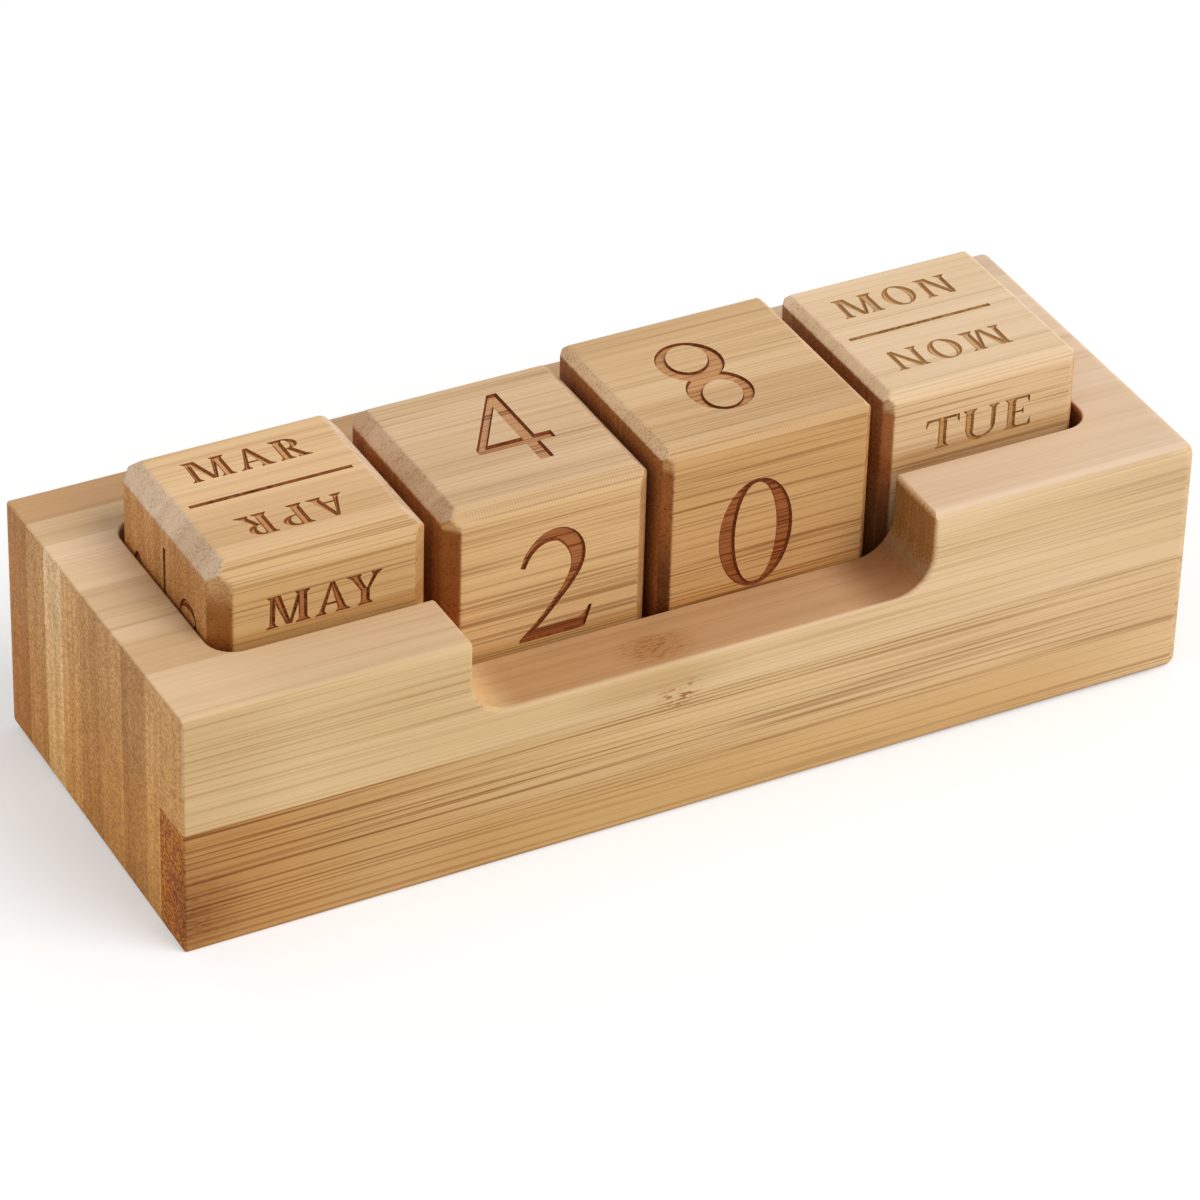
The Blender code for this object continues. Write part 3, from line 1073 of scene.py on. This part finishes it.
# Painted light on the window's left fillet.
left_fillet_painted_light = (1.45, 1.80, 2.00)

# The wood's pattern, in millimetres: how long each mark is along the fibres, and how wide across them.
sway_size = (130, 26, 26)
sway_reach = (0, 0.9, 0.9)
band_size = (120, 2.6, 2.6)
patch_size = (70, 12, 12)
grain_size = (62, 0.33, 0.33)
streak_size = (44, 0.75, 0.75)
dot_size = (30, 0.62, 0.62)
fleck_size = (20, 0.60, 0.36)
lane_size = (200, 1.0, 40)
wander_size = (30, 8, 8)
node_speck_size = (1.5, 0.42, 0.42)
scorch_speck_size = (0.9, 0.3, 0.3)
scorch_patch_size = (7, 7, 7)
tick_spacing = 0.52

# On a chamfer, a product of two shares times this is about one. The dark upright edges begin this far below
# a block's top, in millimetres.
chamfer_gain = 3.8
upright_edge_drop = 4.5

# The tray's staves, in millimetres from its middle: front side, back side, tone, and fibre at each side.
glue_line = 0.10
tray_reach = 35.0
tray_staves = (
    (-33.5, -24.25, 0.52, 0.2, 0.3),
    (-24.25, -19.60, 0.52, 0.2, 0.4),
    (-19.60, -10.80, 0.20, 0.4, 0.9),
    (-10.80, -6.55, 0.50, 0.5, 0.8),
    (-6.55, -1.35, 0.40, 0.3, 0.6),
    (-1.35, 4.85, 0.37, 0.9, 0.6),
    (4.85, 11.65, 0.70, 0.7, 0.2),
    (11.65, 18.25, 0.80, 0.3, 0.0),
    (18.25, 24.95, 0.46, 0.9, 0.3),
    (24.95, 33.5, 0.44, 0.5, 0.6),
)
front_stave_back = -24.25
back_stave_front = 24.95
pale_stave = (11.65, 18.25)
pale_stave_tint = (1.09, 1.26, 1.62)
lower_stave_top = 21.5
lower_stave_left = (0.75, 0.56, 0.36)
lower_stave_right = (0.95, 0.91, 0.84)

# Nodes of the staves: middle and reach in millimetres, shares of the halo and of the specks, and tint.
tray_nodes = (
    ((-6.1, -27.8, 28.4), (9.0, 5.5, 5.0), 0.45, 0.70, (0.68, 0.46, 0.28)),
    ((-4.4, -33.0, 22.4), (5.0, 3.0, 3.6), 0.05, 1.2, (0.56, 0.36, 0.20)),
    ((-88.0, -33.0, 7.0), (13.0, 8.0, 11.5), 0.65, 0.40, (0.58, 0.44, 0.34)),
    ((-9.0, -33.0, 25.5), (20.0, 3.0, 5.0), 1.00, 0.00, (0.86, 0.81, 0.73)),
)

# Burnt wood. Floors of grooves: their tint at the front, on the top and on the ends. Walls: their dark and
# their light, and what is added to the light's share on the top and along the line that parts two words.
month_scorch = ((0.72, 0.44, 0.36), (0.84, 0.66, 0.54), (0.80, 0.62, 0.52))
digit_scorch = ((0.56, 0.31, 0.21), (0.84, 0.64, 0.50), (0.60, 0.33, 0.23))
weekday_scorch = ((0.74, 0.60, 0.40), (0.76, 0.62, 0.47), (0.80, 0.62, 0.52))
month_burn = (paint(66, 24, 5), paint(138, 80, 38), 0.55, -0.4)
digit_burn = (paint(84, 38, 14), paint(126, 66, 34), 0.0, 0.0)
weekday_burn = (paint(106, 63, 23), paint(162, 117, 70), 0.60, -0.6)

# Each block's staves from the front to the back: tone, and fibre at the front and at the back.
month_staves = ((0.62, 0.3, 0.6), (0.36, 0.8, 0.5), (0.5, 0.3, 0.5), (0.62, 0.5, 0.3), (0.55, 0.4, 0.3))
tens_staves = ((0.45, 0.6, 0.5), (0.6, 0.4, 0.6), (0.5, 0.3, 0.6), (0.62, 0.4, 0.3), (0.45, 0.6, 0.4))
units_staves = ((0.5, 0.6, 0.5), (0.4, 0.4, 0.6), (0.6, 0.3, 0.6), (0.5, 0.4, 0.3), (0.42, 0.6, 0.4))
weekday_staves = ((0.55, 0.6, 0.5), (0.5, 0.4, 0.6), (0.6, 0.3, 0.6), (0.5, 0.4, 0.3), (0.55, 0.6, 0.4))

# Each block: where in the wood its pattern is cut from, its tones, its staves, and its burnt wood.
shades = {
    "month_block": ((140, 20, 60), tones["month_block"], month_staves, month_scorch, month_burn),
    "tens_cube": ((310, 90, 15), tones["tens_cube"], tens_staves, digit_scorch, digit_burn),
    "units_cube": ((520, 150, 210), tones["units_cube"], units_staves, digit_scorch, digit_burn),
    "weekday_block": ((760, 270, 330), tones["weekday_block"], weekday_staves, weekday_scorch, weekday_burn),
}

origin = (0, 0, 0)
tray_wood = bamboo("tray_wood", origin, origin, tones["tray"], tray_staves, tray_reach, details=tray_details)
build_tray(tray_wood)
for node, shade in shades.items():
    build_block(node, shade)


def build_camera():
    """Stands and looks as the photograph's camera does."""
    camera = bpy.data.objects.new("camera", bpy.data.cameras.new("camera"))
    camera.data.sensor_width = 36
    camera.data.lens = 180.0
    camera.data.shift_y = 0.0008
    camera.data.clip_end = 50
    camera.matrix_world = Matrix(
        (
            (0.88563, 0.24136, -0.39674, -0.37544),
            (-0.46367, 0.50681, -0.72674, -0.68603),
            (0.02566, 0.82758, 0.56076, 0.54769),
            (0, 0, 0, 1),
        )
    )
    bpy.context.scene.collection.objects.link(camera)
    bpy.context.scene.camera = camera


def seen_plainly(wiring):
    """1 for the camera, for mirror-like reflections and through clear things, and 0 for spread light."""
    path = wiring.nodes.new("ShaderNodeLightPath")
    seen = wiring.reckon("MAXIMUM", path.outputs["Is Camera Ray"], path.outputs["Is Glossy Ray"])
    return wiring.reckon("MAXIMUM", seen, path.outputs["Is Transmission Ray"])


def build_world():
    world = bpy.data.worlds.new("studio")
    bpy.context.scene.world = world
    world.use_nodes = True
    wiring = Wiring(world.node_tree)
    background = wiring.nodes["Background"]
    wiring.feed(background.inputs["Color"], (1, 1, 1))
    level = wiring.node("ShaderNodeMapRange", {0: seen_plainly(wiring), 3: ambient_light, 4: 1.0})
    wiring.feed(background.inputs["Strength"], level)


def build_floor():
    """A pale disc. What is seen of it is lifted by a little light of its own, so that it shows white and
    still keeps the object's shadow."""
    finish = Finish("pale_floor")
    seen = seen_plainly(finish)
    tone = 1 - shadow_lift
    finish.coat({
        "Base Color": finish.blend(seen, floor_colour, (tone, tone, tone)),
        "Emission Color": (1, 1, 1),
        "Emission Strength": finish.times(seen, shadow_lift),
        "Roughness": 0.9,
        "Specular IOR Level": 0.0,
    })
    angle = np.radians(np.arange(0, 360, 5))
    points = np.column_stack([np.cos(angle), np.sin(angle), np.zeros(len(angle))]) * floor_radius
    floor = piece("floor", mesh_from("floor", points, [np.arange(len(points))], [finish.material]))


def build_lamps():
    sun = bpy.data.objects.new("soft_key", bpy.data.lights.new("soft_key", "SUN"))
    sun.data.energy = key_strength
    sun.data.angle = np.radians(45)
    sun.rotation_euler = Vector(key_from).to_track_quat("Z", "Y").to_euler()
    bpy.context.scene.collection.objects.link(sun)


ambient_light = 0.62
key_strength = 1.95
key_from = (0.30, -0.42, 0.52)
floor_colour = (0.75, 0.74, 0.73)
floor_radius = 6.0
shadow_lift = 0.35
build_floor()
build_camera()
build_world()
build_lamps()
bpy.context.scene.view_settings.view_transform = "Standard"
